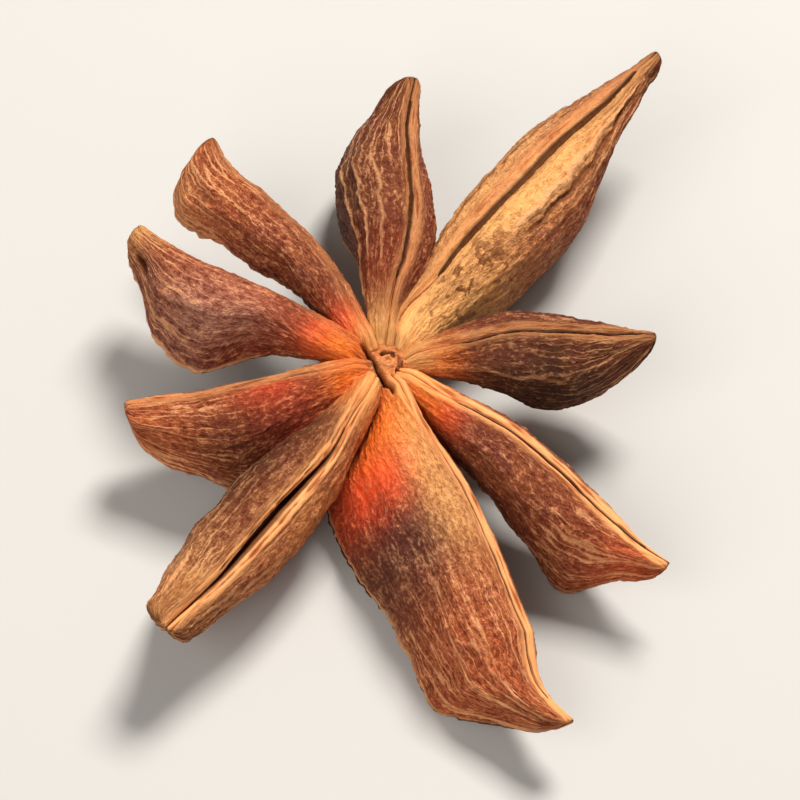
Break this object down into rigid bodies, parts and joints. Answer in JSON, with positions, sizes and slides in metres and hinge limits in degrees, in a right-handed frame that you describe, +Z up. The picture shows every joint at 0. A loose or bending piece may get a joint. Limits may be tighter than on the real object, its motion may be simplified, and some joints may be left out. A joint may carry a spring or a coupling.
{
  "type": "star anise",
  "caption": "Dried star-shaped seed pod: boat-shaped follicles round a short column, split along their upper seams, with glossy flat seeds inside and a stalk stub below.",
  "frame": {"origin": "middle of the flat scar where the stalk broke off, on the surface that the star lies on", "axes": "+Z up, along the column, out of the side where the seams are; the largest follicle points to -Y"},
  "size_m": [0.028, 0.0389, 0.0084],
  "materials": {
    "husk": "dried woody husk, finely wrinkled and matt, with smoother tan lips along the seams",
    "seed": "hard glossy brown seed coat"
  },
  "bodies": {
    "root": {"pod": "husk", "seed_b": "seed", "seed_c": "seed", "seed_d": "seed", "seed_e": "seed", "seed_f": "seed", "seed_g": "seed", "seed_h": "seed", "seed_i": "seed"}
  },
  "joints": []
}
